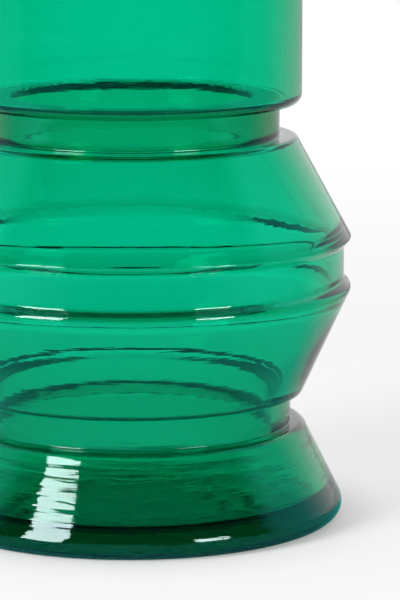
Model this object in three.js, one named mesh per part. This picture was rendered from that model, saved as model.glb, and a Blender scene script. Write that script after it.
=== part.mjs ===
// Green glass vase, blown in one piece into a turned mould.
// Units are millimetres, +Z is up, and the origin is the centre of the resting face.
// From the floor up: a conical foot, a waist, a belly of two cones with a plain band between
// two ridges, a second waist, and a wide straight cylinder that is open at the top.

import * as THREE from 'three';

// Heights of the stages, each measured from the top of the one below.
const FOOT_HEIGHT = 25.2;
const LOWER_WAIST_HEIGHT = 7.8;
const LOWER_CONE_HEIGHT = 27.9;
const BAND_HEIGHT = 12.5;
const UPPER_CONE_HEIGHT = 25.9;
const UPPER_WAIST_HEIGHT = 8.3;
const CYLINDER_HEIGHT = 112.4;

// Outer radii, at the sharp corners that the rounds below then soften.
const FOOT_RADIUS = 56.9;
const FOOT_TOP_RADIUS = 44.3;
const LOWER_WAIST_RADIUS = 41.0;
const LOWER_CONE_BASE_RADIUS = 43.9;
const LOWER_RIDGE_RADIUS = 56.8;
const BAND_RADIUS = 54.6;
const UPPER_RIDGE_RADIUS = 56.5;
const UPPER_CONE_TOP_RADIUS = 42.3;
const UPPER_WAIST_RADIUS = 37.9;
const CYLINDER_RADIUS = 43.6;

// How far each ridge overhangs the band: the height of the slope that leads in to the band.
const LOWER_RIDGE_SLOPE = 1.8;
const UPPER_RIDGE_SLOPE = 1.5;

// Rounds of the outer corners.
const HEEL_ROUND = 4.0;
const FOOT_SHOULDER_ROUND = 2.5;
const CONE_BASE_ROUND = 1.4;
const LOWER_RIDGE_ROUND = 2.5;
const UPPER_RIDGE_ROUND = 0.4;
const CONE_SHOULDER_ROUND = 1.0;
const CYLINDER_BASE_ROUND = 2.8;
const LOWER_BAND_ROUND = 1.1;
const UPPER_BAND_ROUND = 0.5;
const CREASE_ROUND = 0.4;

// Glass thicknesses. The glass gathers in the waists and the heel, where the mould chills it
// first, and the base is what was left of the gather.
const CYLINDER_WALL = 3.6;
const UPPER_WAIST_WALL = 6.9;
const UPPER_CONE_TOP_WALL = 5.2;
const BELLY_WALL = 3.8;
const LOWER_CONE_BASE_WALL = 4.9;
const LOWER_WAIST_WALL = 5.0;
const FOOT_TOP_WALL = 5.0;
const HEEL_WALL = 9.3;
const BASE_THICKNESS = 4.1;

// How far each step of the inside lies from the same step of the outside: above it at the
// cylinder, the upper ridge and the lower cone, and below it at the others.
const CYLINDER_STEP = 2.3;
const UPPER_CONE_STEP = 2.0;
const UPPER_RIDGE_STEP = 5.2;
const LOWER_RIDGE_STEP = 4.5;
const LOWER_CONE_STEP = 1.0;
const FOOT_STEP = 2.5;

// Rounds of the inner corners, from the top down. The inside was never touched by the mould, and
// most of its corners are soft.
const INNER_CYLINDER_ROUND = 0.5;
const INNER_CONE_TOP_ROUND = 5.6;
const INNER_CONE_SHOULDER_ROUND = 2.2;
const INNER_UPPER_RIDGE_ROUND = 5.2;
const INNER_LOWER_RIDGE_ROUND = 15.3;
const INNER_CONE_BASE_ROUND = 2.2;
const INNER_LOWER_WAIST_ROUND = 2.8;
const INNER_FOOT_TOP_ROUND = 2.5;
const INNER_FOOT_SHOULDER_ROUND = 13.5;
const INNER_HEEL_ROUND = 0.6;

// The underside: a flat ring that the vase rests on, round a push-up that rises to a low dome.
// The base has the same dome on its inside.
const RESTING_RING_WIDTH = 10.3;
const PUSH_UP_HEIGHT = 2.6;
const PUSH_UP_ROUND = 1.2;
const DOME_RISE = 5.2;
const DOME_RADIUS = 11.2;
const DOME_ROUND = 20.0;

// Facets.
const TURN_STEPS = 52;
const DEGREES_PER_FACET = 30;
const FEWEST_FACETS = 2;

// Heights worked out from the stages.
const lowerWaistBottom = FOOT_HEIGHT;
const lowerWaistTop = lowerWaistBottom + LOWER_WAIST_HEIGHT;
const lowerRidge = lowerWaistTop + LOWER_CONE_HEIGHT;
const upperRidge = lowerRidge + BAND_HEIGHT;
const upperWaistBottom = upperRidge + UPPER_CONE_HEIGHT;
const upperWaistTop = upperWaistBottom + UPPER_WAIST_HEIGHT;
const rim = upperWaistTop + CYLINDER_HEIGHT;

// A corner of the profile: its radius from the axis, its height and the round that softens it.
function corner(radius, height, round = 0) {
  return { at: new THREE.Vector2(radius, height), round };
}

// The points of one softened corner: an arc that touches both of its sides. A round that is
// too large for its sides shrinks until it meets the middle of the shorter one.
function roundedCorner(before, here, after) {
  if (here.round === 0) return [here.at.clone()];
  const back = before.at.clone().sub(here.at);
  const ahead = after.at.clone().sub(here.at);
  const halfAngle = back.angleTo(ahead) / 2;
  const reach = Math.min(here.round / Math.tan(halfAngle), back.length() / 2, ahead.length() / 2);
  const round = reach * Math.tan(halfAngle);
  const start = here.at.clone().add(back.normalize().multiplyScalar(reach));
  const end = here.at.clone().add(ahead.normalize().multiplyScalar(reach));
  const inward = back.clone().add(ahead).normalize();
  const centre = here.at.clone().add(inward.multiplyScalar(round / Math.sin(halfAngle)));
  const startAngle = start.clone().sub(centre).angle();
  const endAngle = end.clone().sub(centre).angle();
  const turn = THREE.MathUtils.euclideanModulo(endAngle - startAngle + Math.PI, 2 * Math.PI) - Math.PI;
  const degrees = THREE.MathUtils.radToDeg(Math.abs(turn));
  const steps = Math.max(FEWEST_FACETS, Math.round(degrees / DEGREES_PER_FACET));
  const arc = new THREE.EllipseCurve(
    centre.x, centre.y,
    round, round,
    startAngle, startAngle + turn,
    turn < 0,
  );
  return arc.getPoints(steps);
}

// A whole profile: the first and last corners stay sharp, the others are softened.
function roundedProfile(corners) {
  const points = [corners[0].at.clone()];
  for (let i = 1; i < corners.length - 1; i += 1) {
    points.push(...roundedCorner(corners[i - 1], corners[i], corners[i + 1]));
  }
  points.push(corners[corners.length - 1].at.clone());
  return points;
}

// The outside as the mould shapes it, from the resting ring up to the rim.
function outerCorners() {
  return [
    corner(FOOT_RADIUS, 0, HEEL_ROUND),
    corner(FOOT_TOP_RADIUS, lowerWaistBottom, FOOT_SHOULDER_ROUND),
    corner(LOWER_WAIST_RADIUS, lowerWaistBottom, CREASE_ROUND),
    corner(LOWER_WAIST_RADIUS, lowerWaistTop, CREASE_ROUND),
    corner(LOWER_CONE_BASE_RADIUS, lowerWaistTop, CONE_BASE_ROUND),
    corner(LOWER_RIDGE_RADIUS, lowerRidge, LOWER_RIDGE_ROUND),
    corner(BAND_RADIUS, lowerRidge + LOWER_RIDGE_SLOPE, LOWER_BAND_ROUND),
    corner(BAND_RADIUS, upperRidge - UPPER_RIDGE_SLOPE, UPPER_BAND_ROUND),
    corner(UPPER_RIDGE_RADIUS, upperRidge, UPPER_RIDGE_ROUND),
    corner(UPPER_CONE_TOP_RADIUS, upperWaistBottom, CONE_SHOULDER_ROUND),
    corner(UPPER_WAIST_RADIUS, upperWaistBottom, CREASE_ROUND),
    corner(UPPER_WAIST_RADIUS, upperWaistTop, CREASE_ROUND),
    corner(CYLINDER_RADIUS, upperWaistTop, CYLINDER_BASE_ROUND),
  ];
}

// The rim, rounded by the flame: half the wall on each side of its crest.
function rimCorners() {
  const round = CYLINDER_WALL / 2;
  return [
    corner(CYLINDER_RADIUS, rim, round),
    corner(CYLINDER_RADIUS - CYLINDER_WALL, rim, round),
  ];
}

// The inside, from the cylinder down to the heel. Each stage follows its own step of the mould.
function innerCorners() {
  const cylinder = CYLINDER_RADIUS - CYLINDER_WALL;
  const waistAbove = UPPER_WAIST_RADIUS - UPPER_WAIST_WALL;
  const coneTop = UPPER_CONE_TOP_RADIUS - UPPER_CONE_TOP_WALL;
  const belly = BAND_RADIUS - BELLY_WALL;
  const coneBase = LOWER_CONE_BASE_RADIUS - LOWER_CONE_BASE_WALL;
  const waistBelow = LOWER_WAIST_RADIUS - LOWER_WAIST_WALL;
  const footTop = FOOT_TOP_RADIUS - FOOT_TOP_WALL;
  return [
    corner(cylinder, upperWaistTop + CYLINDER_STEP, INNER_CYLINDER_ROUND),
    corner(waistAbove, upperWaistTop + CYLINDER_STEP, INNER_CYLINDER_ROUND),
    corner(waistAbove, upperWaistBottom - UPPER_CONE_STEP, INNER_CONE_TOP_ROUND),
    corner(coneTop, upperWaistBottom - UPPER_CONE_STEP, INNER_CONE_SHOULDER_ROUND),
    corner(belly, upperRidge + UPPER_RIDGE_STEP, INNER_UPPER_RIDGE_ROUND),
    corner(belly, lowerRidge - LOWER_RIDGE_STEP, INNER_LOWER_RIDGE_ROUND),
    corner(coneBase, lowerWaistTop + LOWER_CONE_STEP, INNER_CONE_BASE_ROUND),
    corner(waistBelow, lowerWaistTop + LOWER_CONE_STEP, INNER_LOWER_WAIST_ROUND),
    corner(waistBelow, lowerWaistBottom - FOOT_STEP, INNER_FOOT_TOP_ROUND),
    corner(footTop, lowerWaistBottom - FOOT_STEP, INNER_FOOT_SHOULDER_ROUND),
    corner(FOOT_RADIUS - HEEL_WALL, PUSH_UP_HEIGHT + BASE_THICKNESS, INNER_HEEL_ROUND),
  ];
}

// The base, domed alike on both sides: its underside and its inside, each from the axis outwards.
function underCorners() {
  const ringOuter = FOOT_RADIUS - HEEL_ROUND;
  const ringInner = ringOuter - RESTING_RING_WIDTH;
  const dome = PUSH_UP_HEIGHT + DOME_RISE;
  return [
    corner(0, dome),
    corner(DOME_RADIUS, dome, DOME_ROUND),
    corner(ringInner - PUSH_UP_HEIGHT, PUSH_UP_HEIGHT, PUSH_UP_ROUND),
    corner(ringInner, 0),
  ];
}

function innerDomeCorners() {
  const dome = PUSH_UP_HEIGHT + BASE_THICKNESS + DOME_RISE;
  return [
    corner(DOME_RADIUS, dome, DOME_ROUND),
    corner(0, dome),
  ];
}

// The whole section, from the middle of the underside, out and up the outside, over the rim
// and down the inside to the middle of the base.
function sectionPoints() {
  return roundedProfile([
    ...underCorners(),
    ...outerCorners(),
    ...rimCorners(),
    ...innerCorners(),
    ...innerDomeCorners(),
  ]);
}

// The section turned about the vase's axis.
function glassBody() {
  const geometry = new THREE.LatheGeometry(sectionPoints(), TURN_STEPS);
  geometry.rotateX(Math.PI / 2);
  const glass = new THREE.MeshStandardMaterial({
    color: 0x00b37c,
    roughness: 0.03,
    metalness: 0,
    transparent: true,
    opacity: 0.55,
  });
  const mesh = new THREE.Mesh(geometry, glass);
  mesh.name = 'glass_body';
  return mesh;
}

const vase = new THREE.Group();
vase.name = 'glass_vase';
vase.add(glassBody());

export default vase;
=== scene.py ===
# %% [markdown]
# # A green glass vase
#
# The vase was blown in one piece: a gather of green glass went into a mould and was turned in it,
# so everything about it is round. From the floor up it has a conical foot, a waist, a belly of two
# cones with a plain band between two ridges, a second waist, and a wide open cylinder.
#
# Glass has no surface colour of its own. What the eye sees is the room behind it, bent by two walls
# and dyed by the thickness of the glass on the way. So this lesson spends its care on three
# things: the exact section of the wall, the light that comes through it, and the fine marks that
# the mould leaves in the glass.

# %% Load the frame
import math

import bmesh
import bpy
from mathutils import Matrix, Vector


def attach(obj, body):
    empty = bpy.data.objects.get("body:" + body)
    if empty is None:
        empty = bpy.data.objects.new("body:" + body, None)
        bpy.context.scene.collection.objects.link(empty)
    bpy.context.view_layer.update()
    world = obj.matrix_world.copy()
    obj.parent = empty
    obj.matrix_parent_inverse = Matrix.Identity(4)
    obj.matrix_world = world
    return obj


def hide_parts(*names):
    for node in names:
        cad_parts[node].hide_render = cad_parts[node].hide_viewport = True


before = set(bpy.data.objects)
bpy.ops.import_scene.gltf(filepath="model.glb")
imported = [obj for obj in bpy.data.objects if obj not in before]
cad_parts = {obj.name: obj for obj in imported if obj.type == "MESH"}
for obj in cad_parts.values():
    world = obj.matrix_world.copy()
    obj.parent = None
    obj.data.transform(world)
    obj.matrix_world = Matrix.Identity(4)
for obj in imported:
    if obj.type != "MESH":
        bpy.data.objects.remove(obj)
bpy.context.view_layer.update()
MM = 0.001

# %% [markdown]
# ## The camera
#
# The vase was photographed from a little above, from less than a metre away, with a long lens that
# cuts off its top and its left side. A long lens from further away would flatten the rings into
# lines, and how far the rings bulge in the picture is what gives the distance. The camera looks
# at a point to the right of the vase's axis, so the axis stands left of the middle.

# %% Camera
# The sensor's size goes with the picture's longer side, which is its height. It and the focal
# length are in millimetres, and the distance is in metres.
SENSOR = 36.0
FOCAL_LENGTH = 204.1
CAMERA_DISTANCE = 0.8793
CAMERA_PITCH = math.radians(9.83)
LOOK_AT = Vector((17.51 * MM, 0, 56.27 * MM))


def aim(thing, place, target):
    """Puts a camera or lamp at a place and turns it to look at the target."""
    thing.location = place
    thing.rotation_euler = (target - place).to_track_quat("-Z", "Y").to_euler()


camera_data = bpy.data.cameras.new("camera")
camera_data.sensor_width = SENSOR
camera_data.lens = FOCAL_LENGTH
camera = bpy.data.objects.new("camera", camera_data)
bpy.context.scene.collection.objects.link(camera)
bpy.context.scene.camera = camera
back_off = CAMERA_DISTANCE * Vector((0, -math.cos(CAMERA_PITCH), math.sin(CAMERA_PITCH)))
aim(camera, LOOK_AT + back_off, LOOK_AT)
print("the camera stands at", [round(c, 3) for c in camera.location])

# %% [markdown]
# ## Node trees
#
# The floor, the room and the glass are all built from a few kinds of node. Each kind gets a short
# helper that takes a socket or a plain value for what goes in, and hands back the socket that
# comes out, so that a chain of nodes reads like a sum.

# %% Helpers for node trees


def node(tree, kind, place, **settings):
    """Adds a node to a tree at a place in the editor, and sets its properties."""
    made = tree.nodes.new(kind)
    made.location = place
    for name, value in settings.items():
        setattr(made, name, value)
    return made


def feed(tree, socket, source):
    """Links a socket to the one that feeds it, or sets it to a plain value."""
    if isinstance(source, bpy.types.NodeSocket):
        tree.links.new(source, socket)
    else:
        socket.default_value = source


def work_out(tree, operation, first, second, place):
    """A sum, product or the like of two values."""
    made = node(tree, "ShaderNodeMath", place, operation=operation)
    feed(tree, made.inputs[0], first)
    feed(tree, made.inputs[1], second)
    return made.outputs["Value"]


def blend(tree, factor, first, second, place, **settings):
    """A mix of two values or two colours."""
    made = node(tree, "ShaderNodeMix", place, **settings)
    feed(tree, made.inputs["Factor"], factor)
    feed(tree, made.inputs["A"], first)
    feed(tree, made.inputs["B"], second)
    return made.outputs["Result"]


def length(tree, vector, place):
    """How long a vector is."""
    made = node(tree, "ShaderNodeVectorMath", place, operation="LENGTH")
    feed(tree, made.inputs[0], vector)
    return made.outputs["Value"]


def split(tree, vector, place):
    """The three parts of a vector, by name."""
    made = node(tree, "ShaderNodeSeparateXYZ", place)
    feed(tree, made.inputs["Vector"], vector)
    return made.outputs


def fade(tree, source, start, end, low, high, place):
    """A soft step: low where the source is below start, high where it is above end."""
    step = node(tree, "ShaderNodeMapRange", place, interpolation_type="SMOOTHSTEP")
    feed(tree, step.inputs["Value"], source)
    feed(tree, step.inputs["From Min"], start)
    feed(tree, step.inputs["From Max"], end)
    feed(tree, step.inputs["To Min"], low)
    feed(tree, step.inputs["To Max"], high)
    return step.outputs["Result"]


# %% [markdown]
# ## The floor
#
# The vase stands on a pale sweep with no horizon. Under the vase it is nearly all plain pale floor
# that takes light and shadow. Just beyond the foot, what the camera and the glass see of it is more
# than half an even white glow, painted light that lifts the vase's shadow there. Further out it
# fades to all even white, which the camera sees as background and the glass sees as the light behind
# it. The fade depends only on the distance from the vase, so the glass looks clear from every side.
#
# What the glass mirrors is the real, lit floor, with two changes. In front of the vase the floor is
# painted dim for mirrored rays only, a painted dark reflection, though the floor itself goes on
# there and is lit. And a photograph can't hold a green as pure as this glass, so it loses the red of
# what the glass mirrors. That red is left out of the floor in front of the vase and beside it.

# %% Sizes and colours of the floor
FLOOR_RADIUS = 6.0
FLOOR_SIDES = 96
FLOOR_COLOUR = (0.78, 0.785, 0.775, 1)
FLOOR_ROUGHNESS = 0.7
# The share of even white under the vase and near it. Near the vase it is painted light that lifts
# the vase's shadow. Far away it is 1. The pairs are the distances in metres from the vase's axis
# between which the floor gains its white.
UNDER_WHITE = 0.03
NEAR_FADE = (0.036, 0.075)
NEAR_WHITE = 0.6
FAR_FADE = (0.10, 0.75)
# For mirrored rays only, the floor in front of the vase is painted dim, a painted dark reflection.
# It fades between these two places along Y, in metres, to this brightness beyond them.
MIRROR_DIM_FADE = (-0.45, -0.2)
FRONT_DIM = 0.1
# The share of red that is left in front, and where the rest comes back: how far back a place lies,
# as a share of its distance from the axis.
RED_IN_FRONT = 0.12
RED_LOST = (0.1, 0.7)


def lose_red(tree, rays, how_far_back, limits, colour, place):
    """Takes red from a colour for mirrored rays: most of it in front, and none behind."""
    across, up = place
    red = fade(tree, how_far_back, *limits, RED_IN_FRONT, 1, (across - 600, up))
    pure = node(tree, "ShaderNodeCombineColor", (across - 200, up))
    feed(tree, pure.inputs["Red"], red)
    feed(tree, pure.inputs["Green"], 1)
    feed(tree, pure.inputs["Blue"], 1)
    mirrored = rays.outputs["Is Glossy Ray"]
    multiply = {"data_type": "RGBA", "blend_type": "MULTIPLY"}
    return blend(tree, mirrored, colour, pure.outputs["Color"], place, **multiply)


# %% White of the floor
floor_material = bpy.data.materials.new("pale_floor")
floor_material.use_nodes = True
tree = floor_material.node_tree
place = node(tree, "ShaderNodeTexCoord", (-1100, 200)).outputs["Object"]
distance = length(tree, place, (-920, 200))
# Painted light: the even white near the vase lifts the vase's shadow on the floor.
near = fade(tree, distance, *NEAR_FADE, UNDER_WHITE, NEAR_WHITE, (-740, 300))
far = fade(tree, distance, *FAR_FADE, 0, 1 - NEAR_WHITE, (-740, 50))
whiteness = work_out(tree, "ADD", near, far, (-540, 200))
rays = node(tree, "ShaderNodeLightPath", (-920, -300))
by_camera = rays.outputs["Is Camera Ray"]
through_glass = rays.outputs["Is Transmission Ray"]
seen = work_out(tree, "MAXIMUM", by_camera, through_glass, (-540, -100))
white_share = work_out(tree, "MULTIPLY", whiteness, seen, (-360, 100))
print("the floor is white beyond", FAR_FADE[1], "m")

# %% Mirror image of the floor
back = split(tree, place, (-920, -100))["Y"]
# Painted dark reflection: mirrored rays find the floor in front of the vase dim.
front = fade(tree, back, *MIRROR_DIM_FADE, 1, 0, (-740, -200))
mirrored_front = work_out(tree, "MULTIPLY", front, rays.outputs["Is Glossy Ray"], (-540, -300))
dim = (FRONT_DIM, FRONT_DIM, FRONT_DIM, 1)
colour = blend(tree, mirrored_front, FLOOR_COLOUR, dim, (-300, 400), data_type="RGBA")
behind = work_out(tree, "DIVIDE", back, distance, (-920, -450))
colour = lose_red(tree, rays, behind, RED_LOST, colour, (-120, 650))
print("mirrored rays find", RED_IN_FRONT, "of the red in front of the vase")

# %% Floor
paper = tree.nodes["Principled BSDF"]
paper.inputs["Roughness"].default_value = FLOOR_ROUGHNESS
paper.inputs["Specular IOR Level"].default_value = 0.0
tree.links.new(colour, paper.inputs["Base Color"])
white = node(tree, "ShaderNodeEmission", (-360, -200))
mixed = node(tree, "ShaderNodeMixShader", (200, 100))
tree.links.new(white_share, mixed.inputs["Fac"])
tree.links.new(paper.outputs["BSDF"], mixed.inputs[1])
tree.links.new(white.outputs["Emission"], mixed.inputs[2])
tree.links.new(mixed.outputs["Shader"], tree.nodes["Material Output"].inputs["Surface"])

bpy.ops.object.select_all(action="DESELECT")
bpy.ops.mesh.primitive_circle_add(vertices=FLOOR_SIDES, radius=FLOOR_RADIUS, fill_type="NGON")
floor = bpy.context.object
floor.name = "floor"
floor.data.materials.append(floor_material)
print("the floor is", 2 * FLOOR_RADIUS, "m wide")

# %% [markdown]
# ## The light
#
# Glass is lit from behind: the white half of the room stands past the vase, and the camera's half
# is dim, so that the edges and steps, which bend the view round to that side, draw themselves as
# dark lines. Two tall soft boxes stand left and right of the camera. They are what shines as white
# marks on the foot and on the lower ridge. A ray that has been through glass finds them dimmer, so
# that no bright panels float inside the belly.

# %% World
# How bright the room is in front and behind. The pairs are how far back a direction points, as a
# part of its length: where the room turns bright, and where the red comes back.
ROOM_DIM = 0.08
ROOM_WHITE = 1.0
ROOM_TURN = (-0.22, 0.02)
ROOM_RED_LOST = (0.3, 0.9)
WHITE = (1, 1, 1, 1)

world = bpy.data.worlds.new("studio")
bpy.context.scene.world = world
world.use_nodes = True
tree = world.node_tree
background = tree.nodes["Background"]
rays = node(tree, "ShaderNodeLightPath", (-540, -300))
direction = node(tree, "ShaderNodeTexCoord", (-900, 0)).outputs["Generated"]
back = split(tree, direction, (-720, 0))["Y"]
room = fade(tree, back, *ROOM_TURN, ROOM_DIM, ROOM_WHITE, (-540, 0))
by_camera = rays.outputs["Is Camera Ray"]
level = blend(tree, by_camera, room, ROOM_WHITE, (-300, 0), data_type="FLOAT")
tree.links.new(level, background.inputs["Strength"])
colour = lose_red(tree, rays, back, ROOM_RED_LOST, WHITE, (-120, 250))
tree.links.new(colour, background.inputs["Color"])
print("the room is", ROOM_DIM, "bright in front and", ROOM_WHITE, "behind")

# %% Soft boxes
# How far the boxes stand from the vase, in metres, how bright they are, where white is 1, and the
# share of that brightness that is left to a ray that has been through glass.
BOX_DISTANCE = 1.2
BOX_GLOW = 18
BOX_THROUGH_GLASS = 0.25


def soft_box(name, bearing, spread, bottom, top):
    """A tall panel on a bearing from the camera's side of the vase, facing the vase.

    Bearing and spread are in degrees, and bottom and top are in metres.
    """
    wide = 2 * BOX_DISTANCE * math.tan(math.radians(spread) / 2)
    high = top - bottom
    panel = bpy.data.lights.new(name, "AREA")
    panel.shape = "RECTANGLE"
    panel.size = wide
    panel.size_y = high
    panel.energy = BOX_GLOW * math.pi * wide * high
    panel.use_nodes = True
    tree = panel.node_tree
    depth = node(tree, "ShaderNodeLightPath", (-500, 0)).outputs["Transmission Depth"]
    seen = fade(tree, depth, 0, 1, 1, BOX_THROUGH_GLASS, (-300, 0))
    tree.links.new(seen, tree.nodes["Emission"].inputs["Strength"])
    lamp = bpy.data.objects.new(name, panel)
    lamp.visible_camera = False
    bpy.context.scene.collection.objects.link(lamp)
    turn = math.radians(bearing)
    middle = (top + bottom) / 2
    centre = Vector((BOX_DISTANCE * math.sin(turn), -BOX_DISTANCE * math.cos(turn), middle))
    aim(lamp, centre, Vector((0, 0, middle)))
    print(name, "is", round(wide, 2), "by", round(high, 2), "m")


soft_box("left_soft_box", bearing=-48, spread=24, bottom=0.1, top=0.94)
soft_box("right_soft_box", bearing=44, spread=21, bottom=0.1, top=0.50)

# %% [markdown]
# ## The section of the wall
#
# Everything that the vase is lies in one section: half of a cut through its middle. It is drawn the
# way a glassworker would sketch it, as a chain of straight lines from corner to corner, out along
# the underside, up the outside, over the rim and down the inside. Each corner then gets its own
# round by a vertex bevel. The mould gave the outside its crisp corners. The inside only followed,
# at a nearly even distance, so most of its corners are softer. The glass is thinnest in the band
# and the cylinder, and thickest in the upper waist, the foot and the base.

# %% Sizes of the outside
# Heights of the rings above the floor, in millimetres.
FOOT_TOP = 25.2
LOWER_WAIST_TOP = 33.0
LOWER_RIDGE = 60.9
UPPER_RIDGE = 73.4
UPPER_WAIST_BOTTOM = 99.3
UPPER_WAIST_TOP = 107.6
RIM = 220.0

# Radii of the outside at those heights.
FOOT_RADIUS = 56.9
FOOT_TOP_RADIUS = 44.3
LOWER_WAIST_RADIUS = 41.0
LOWER_CONE_BASE_RADIUS = 43.9
LOWER_RIDGE_RADIUS = 56.8
BAND_RADIUS = 54.6
UPPER_RIDGE_RADIUS = 56.5
UPPER_CONE_TOP_RADIUS = 42.3
UPPER_WAIST_RADIUS = 37.9
CYLINDER_RADIUS = 43.6

# The height of the slope between each ridge and the band.
LOWER_RIDGE_SLOPE = 1.8
UPPER_RIDGE_SLOPE = 2.2
print("the belly is", round(UPPER_WAIST_BOTTOM - LOWER_WAIST_TOP, 1), "mm tall")

# The underside: a ring to stand on, round a push-up that rises to a low dome in the middle.
RING_INNER_RADIUS = 42.6
PUSH_UP = 2.6
DOME_RADIUS = 11.2
DOME_RISE = 5.2

# %% Rounds of the outside
# The crease is the small round of a waist's corners, where two faces of the mould met.
CREASE = 0.4
HEEL_ROUND = 4.0
PUSH_UP_ROUND = 1.2
DOME_ROUND = 20
FOOT_SHOULDER_ROUND = 2.5
CONE_BASE_ROUND = 1.4
LOWER_RIDGE_ROUND = 2.5
LOWER_BAND_ROUND = 1.1
UPPER_BAND_ROUND = 0.5
UPPER_RIDGE_ROUND = 0.6
CONE_SHOULDER_ROUND = 1.0
CYLINDER_BASE_ROUND = 2.8

# %% Thickness of the glass
CYLINDER_WALL = 3.6
UPPER_WAIST_WALL = 6.9
UPPER_CONE_WALL = 3.8
BAND_WALL = 3.1
LOWER_CONE_WALL = 4.8
LOWER_WAIST_WALL = 4.9
FOOT_TOP_WALL = 5.5
FOOT_WALL = 9.3
BASE = 6.7

# Radii of the inside.
CYLINDER_BORE = CYLINDER_RADIUS - CYLINDER_WALL
UPPER_WAIST_BORE = UPPER_WAIST_RADIUS - UPPER_WAIST_WALL
UPPER_CONE_BORE = UPPER_CONE_TOP_RADIUS - UPPER_CONE_WALL
BAND_BORE = BAND_RADIUS - BAND_WALL
LOWER_CONE_BORE = LOWER_CONE_BASE_RADIUS - LOWER_CONE_WALL
LOWER_WAIST_BORE = LOWER_WAIST_RADIUS - LOWER_WAIST_WALL
FOOT_TOP_BORE = FOOT_TOP_RADIUS - FOOT_TOP_WALL
FOOT_BORE = FOOT_RADIUS - FOOT_WALL
print("the mouth is", 2 * CYLINDER_BORE, "mm wide inside")

# %% Steps and rounds of the inside
# How far each inner step lies from the outer one. The lower cone's inner step is inclined: it
# starts this far above the outer one and ends this far below it.
CYLINDER_STEP = 2.3
UPPER_CONE_STEP = 2.0
UPPER_RIDGE_STEP = 1.4
LOWER_RIDGE_STEP = 3.0
LOWER_CONE_STEP = 0.7
FOOT_STEP = 2.5

INNER_CREASE = 0.5
INNER_WAIST_ROUND = 5.6
INNER_CONE_SHOULDER_ROUND = 2.2
INNER_UPPER_RIDGE_ROUND = 8.0
INNER_LOWER_RIDGE_ROUND = 6.2
INNER_CONE_BASE_ROUND = 6.9
INNER_FOOT_TOP_ROUND = 4.1
INNER_FOOT_SHOULDER_ROUND = 13.5
INNER_HEEL_ROUND = 0.6

# %% The corners
# Each corner is a radius, a height and a round.
UNDERSIDE = [
    (0, PUSH_UP + DOME_RISE, 0),
    (DOME_RADIUS, PUSH_UP + DOME_RISE, DOME_ROUND),
    (RING_INNER_RADIUS - PUSH_UP, PUSH_UP, PUSH_UP_ROUND),
    (RING_INNER_RADIUS, 0, 0),
]
OUTSIDE = [
    (FOOT_RADIUS, 0, HEEL_ROUND),
    (FOOT_TOP_RADIUS, FOOT_TOP, FOOT_SHOULDER_ROUND),
    (LOWER_WAIST_RADIUS, FOOT_TOP, CREASE),
    (LOWER_WAIST_RADIUS, LOWER_WAIST_TOP, CREASE),
    (LOWER_CONE_BASE_RADIUS, LOWER_WAIST_TOP, CONE_BASE_ROUND),
    (LOWER_RIDGE_RADIUS, LOWER_RIDGE, LOWER_RIDGE_ROUND),
    (BAND_RADIUS, LOWER_RIDGE + LOWER_RIDGE_SLOPE, LOWER_BAND_ROUND),
    (BAND_RADIUS, UPPER_RIDGE - UPPER_RIDGE_SLOPE, UPPER_BAND_ROUND),
    (UPPER_RIDGE_RADIUS, UPPER_RIDGE, UPPER_RIDGE_ROUND),
    (UPPER_CONE_TOP_RADIUS, UPPER_WAIST_BOTTOM, CONE_SHOULDER_ROUND),
    (UPPER_WAIST_RADIUS, UPPER_WAIST_BOTTOM, CREASE),
    (UPPER_WAIST_RADIUS, UPPER_WAIST_TOP, CREASE),
    (CYLINDER_RADIUS, UPPER_WAIST_TOP, CYLINDER_BASE_ROUND),
    (CYLINDER_RADIUS, RIM, CYLINDER_WALL / 2),
]
INSIDE = [
    (CYLINDER_BORE, RIM, CYLINDER_WALL / 2),
    (CYLINDER_BORE, UPPER_WAIST_TOP + CYLINDER_STEP, INNER_CREASE),
    (UPPER_WAIST_BORE, UPPER_WAIST_TOP + CYLINDER_STEP, INNER_CREASE),
    (UPPER_WAIST_BORE, UPPER_WAIST_BOTTOM - UPPER_CONE_STEP, INNER_WAIST_ROUND),
    (UPPER_CONE_BORE, UPPER_WAIST_BOTTOM - UPPER_CONE_STEP, INNER_CONE_SHOULDER_ROUND),
    (BAND_BORE, UPPER_RIDGE + UPPER_RIDGE_STEP, INNER_UPPER_RIDGE_ROUND),
    (BAND_BORE, LOWER_RIDGE - LOWER_RIDGE_STEP, INNER_LOWER_RIDGE_ROUND),
    (LOWER_CONE_BORE, LOWER_WAIST_TOP + LOWER_CONE_STEP, INNER_CONE_BASE_ROUND),
    (LOWER_WAIST_BORE, LOWER_WAIST_TOP - LOWER_CONE_STEP, INNER_CREASE),
    (LOWER_WAIST_BORE, FOOT_TOP - FOOT_STEP, INNER_FOOT_TOP_ROUND),
    (FOOT_TOP_BORE, FOOT_TOP - FOOT_STEP, INNER_FOOT_SHOULDER_ROUND),
    (FOOT_BORE, BASE, INNER_HEEL_ROUND),
    (DOME_RADIUS, BASE + DOME_RISE, DOME_ROUND),
    (0, BASE + DOME_RISE, 0),
]
SECTION = UNDERSIDE + OUTSIDE + INSIDE
print("the section has", len(SECTION), "corners")

# %% [markdown]
# ## Drawing the section and turning it
#
# The chain of corners is drawn by extruding one point from corner to corner. The bevels come next,
# while each corner is still a single point that can be found by its place. Long edges are then
# halved, so that the faces stay small and even, and last the section is spun about the axis.

# %% Helpers that draw
# Facets and rows of the finished mesh. The row's height and the gap of doubles are in millimetres.
DEGREES_PER_FACET = 9
FEWEST_FACETS = 2
ROW_HEIGHT = 2.0
TURN_STEPS = 168
DOUBLES_GAP = 0.01


def at(corner):
    """The place of a corner in the section's plane, in metres."""
    radius, height, _ = corner
    return MM * Vector((radius, 0, height))


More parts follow.
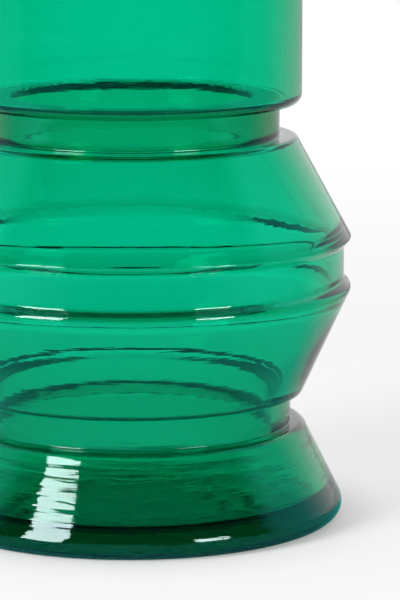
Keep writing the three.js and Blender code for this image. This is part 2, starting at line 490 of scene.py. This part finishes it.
def draw(name, corners):
    """Draws a chain of edges through the corners by extruding one point. It stays in edit mode."""
    bpy.ops.object.select_all(action="DESELECT")
    bpy.ops.mesh.primitive_plane_add(size=MM)
    bpy.context.object.name = name
    bpy.ops.object.mode_set(mode="EDIT")
    bpy.ops.mesh.select_all(action="SELECT")
    bpy.ops.mesh.merge(type="CENTER")
    bpy.ops.transform.translate(value=at(corners[0]))
    for last, corner in zip(corners, corners[1:]):
        step = {"value": at(corner) - at(last)}
        bpy.ops.mesh.extrude_region_move(TRANSFORM_OT_translate=step)
    return bpy.context.object


def select_point(piece, place):
    """Selects the one point of a mesh in edit mode that lies nearest to a place."""
    bpy.ops.mesh.select_all(action="DESELECT")
    mesh = bmesh.from_edit_mesh(piece.data)
    nearest = min(mesh.verts, key=lambda point: (point.co - place).length)
    nearest.select_set(True)
    bmesh.update_edit_mesh(piece.data)


# %% Helper that rounds


def round_corner(piece, before, corner, after):
    """Rounds a corner by a vertex bevel that touches both of its sides, at most half way along.

    A bevel profile of 0.5 is a true arc only at a right angle. At any other angle, the value
    below puts the middle of the bevel on the arc.
    """
    back = at(before) - at(corner)
    ahead = at(after) - at(corner)
    half = back.angle(ahead) / 2
    reach = min(MM * corner[2] / math.tan(half), back.length / 2, ahead.length / 2)
    turn = math.degrees(math.pi - 2 * half)
    select_point(piece, at(corner))
    bpy.ops.mesh.bevel(
        affect="VERTICES",
        offset_type="OFFSET",
        offset=reach,
        segments=max(FEWEST_FACETS, math.ceil(turn / DEGREES_PER_FACET)),
        profile=(1 - 0.5 / (1 + math.sin(half))) ** 2,
        clamp_overlap=False,
    )


# %% Helpers that finish


def even_out(piece, longest):
    """Halves the edges of a mesh in edit mode until none is longer than asked."""
    mesh = bmesh.from_edit_mesh(piece.data)
    long_edges = [edge for edge in mesh.edges if edge.calc_length() > longest]
    while long_edges:
        bpy.ops.mesh.select_all(action="DESELECT")
        for edge in long_edges:
            edge.select_set(True)
        bmesh.update_edit_mesh(piece.data)
        bpy.ops.mesh.subdivide(number_cuts=1)
        mesh = bmesh.from_edit_mesh(piece.data)
        long_edges = [edge for edge in mesh.edges if edge.calc_length() > longest]


def turn_round(steps):
    """Spins the section about the vase's axis, and closes the seam and the two poles."""
    bpy.ops.mesh.select_all(action="SELECT")
    bpy.ops.mesh.spin(steps=steps, angle=2 * math.pi, center=(0, 0, 0), axis=(0, 0, 1))
    bpy.ops.mesh.select_all(action="SELECT")
    bpy.ops.mesh.remove_doubles(threshold=DOUBLES_GAP * MM)
    bpy.ops.mesh.normals_make_consistent(inside=False)
    bpy.ops.object.mode_set(mode="OBJECT")
    bpy.ops.object.shade_smooth()


# %% The glass body
body = draw("green_glass_vase", SECTION)
for before, corner, after in zip(SECTION, SECTION[1:], SECTION[2:]):
    if corner[2] > 0:
        round_corner(body, before, corner, after)
even_out(body, ROW_HEIGHT * MM)
turn_round(TURN_STEPS)
print("the body has", len(body.data.polygons), "faces")

# %% [markdown]
# ## The glass
#
# The colour of the glass is in its depth, so the material is clear at its surface and filled with
# a plain absorption: the deeper the glass, the darker and the purer the green. It takes the red
# first, then some of the blue. That is what makes the waists and the foot darker with no change of
# colour by hand.

# %% Green glass
IOR = 1.5
# How much of red, green and blue a millimetre of glass takes, as a rate.
ABSORBED_PER_MM = Vector((1.20, 0.0860, 0.145))
# Deep glass keeps more blue than a plain absorption leaves it, so part of the blue is taken at
# the surface. What the surface mirrors loses a little red.
SURFACE_TINT = (1, 1, 0.87, 1)
MIRROR_TINT = (0.75, 1, 1, 1)

glass = bpy.data.materials.new("green_glass")
glass.use_nodes = True
tree = glass.node_tree
surface = tree.nodes["Principled BSDF"]
surface.inputs["Base Color"].default_value = SURFACE_TINT
surface.inputs["IOR"].default_value = IOR
surface.inputs["Transmission Weight"].default_value = 1.0
surface.inputs["Specular Tint"].default_value = MIRROR_TINT
inside = node(tree, "ShaderNodeVolumeAbsorption", (0, -300))
strongest = max(ABSORBED_PER_MM)
kept = [1 - share / strongest for share in ABSORBED_PER_MM]
inside.inputs["Color"].default_value = (*kept, 1)
inside.inputs["Density"].default_value = strongest / MM
tree.links.new(inside.outputs["Volume"], tree.nodes["Material Output"].inputs["Volume"])
print("a millimetre of glass lets", round(math.exp(-ABSORBED_PER_MM[1]), 2), "of green through")

# %% [markdown]
# ## The surface of the glass
#
# Glass that is turned in a mould while it is blown gets fine marks all the way round, and it stays a
# little wavy. Both are noise that is squeezed along the axis, as a height for one bump. The
# underside is matt instead: its ring is worn by standing, and the push-up was pressed by a cool
# mould. A clear underside would draw a black line across the foot.

# %% Marks left by the mould
# Marks to the metre round the vase and up it, how deep they are in metres, and how much finer
# noise lies on them.
TURNING_MARKS = {"scale": (40, 40, 560), "depth": 1.9e-4, "detail": 2.5}
SLOW_WAVES = {"scale": (22, 22, 50), "depth": 3.6e-4, "detail": 1.0}
# The turning marks are deepest low on the foot. Between these heights, in metres, they fade to
# this share, which is left from the lower cone up.
MARKS_FADE = (0.014, 0.042)
MARKS_ABOVE = 0.09


def marks(tree, place, kind, corner):
    """Noise stretched round the vase, as a height in metres."""
    across, up = corner
    stretch = node(tree, "ShaderNodeMapping", corner)
    feed(tree, stretch.inputs["Scale"], kind["scale"])
    feed(tree, stretch.inputs["Vector"], place)
    noise = node(tree, "ShaderNodeTexNoise", (across + 200, up))
    feed(tree, noise.inputs["Scale"], 1.0)
    feed(tree, noise.inputs["Detail"], kind["detail"])
    feed(tree, noise.inputs["Vector"], stretch.outputs["Vector"])
    return work_out(tree, "MULTIPLY", noise.outputs["Fac"], kind["depth"], (across + 400, up))


place = node(tree, "ShaderNodeTexCoord", (-1300, -100)).outputs["Object"]
height = split(tree, place, (-1100, 300))["Z"]
worn = fade(tree, height, *MARKS_FADE, 1, MARKS_ABOVE, (-900, 300))
turned = marks(tree, place, TURNING_MARKS, (-1100, 0))
turned = work_out(tree, "MULTIPLY", turned, worn, (-500, 100))
waves = marks(tree, place, SLOW_WAVES, (-1100, -250))
relief = work_out(tree, "ADD", turned, waves, (-500, -100))
bump = node(tree, "ShaderNodeBump", (-300, -100))
bump.inputs["Distance"].default_value = 1.0
tree.links.new(relief, bump.inputs["Height"])
tree.links.new(bump.outputs["Normal"], surface.inputs["Normal"])
print("the turning marks are up to", 1000 * TURNING_MARKS["depth"], "mm deep")

# %% Matt underside
# The height and the radius, in metres, between which the glass turns from matt to clear.
UNDERSIDE_HEIGHT = (0.0028, 0.0034)
UNDERSIDE_RADIUS = (0.0528, 0.0534)
UNDERSIDE_ROUGHNESS = 0.5

low_down = fade(tree, height, *UNDERSIDE_HEIGHT, UNDERSIDE_ROUGHNESS, 0, (-900, 550))
flat = node(tree, "ShaderNodeVectorMath", (-1300, 800), operation="MULTIPLY")
feed(tree, flat.inputs[0], place)
feed(tree, flat.inputs[1], (1, 1, 0))
radius = length(tree, flat.outputs["Vector"], (-1100, 800))
far_in = fade(tree, radius, *UNDERSIDE_RADIUS, 1, 0, (-900, 800))
matt = work_out(tree, "MULTIPLY", low_down, far_in, (-500, 600))
tree.links.new(matt, surface.inputs["Roughness"])
print("the underside is matt out to", 1000 * UNDERSIDE_RADIUS[0], "mm")

# %% The body in the frame
body.data.materials.append(glass)
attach(body, "root")
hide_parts("glass_body")

# %% [markdown]
# ## Light paths
#
# A ray crosses four faces of glass on its way through the vase, and one that is caught in the foot
# is mirrored many times more. Each face is a bounce, so the limits are raised until the dark places
# are dark because of the glass and not because a ray was given up.

# %% Bounces
GLASS_BOUNCES = 24
MIRROR_BOUNCES = 12

cycles = bpy.context.scene.cycles
cycles.max_bounces = GLASS_BOUNCES
cycles.transmission_bounces = GLASS_BOUNCES
cycles.glossy_bounces = MIRROR_BOUNCES
bpy.context.scene.view_settings.view_transform = "Standard"
print("a ray may cross", GLASS_BOUNCES, "faces of glass")
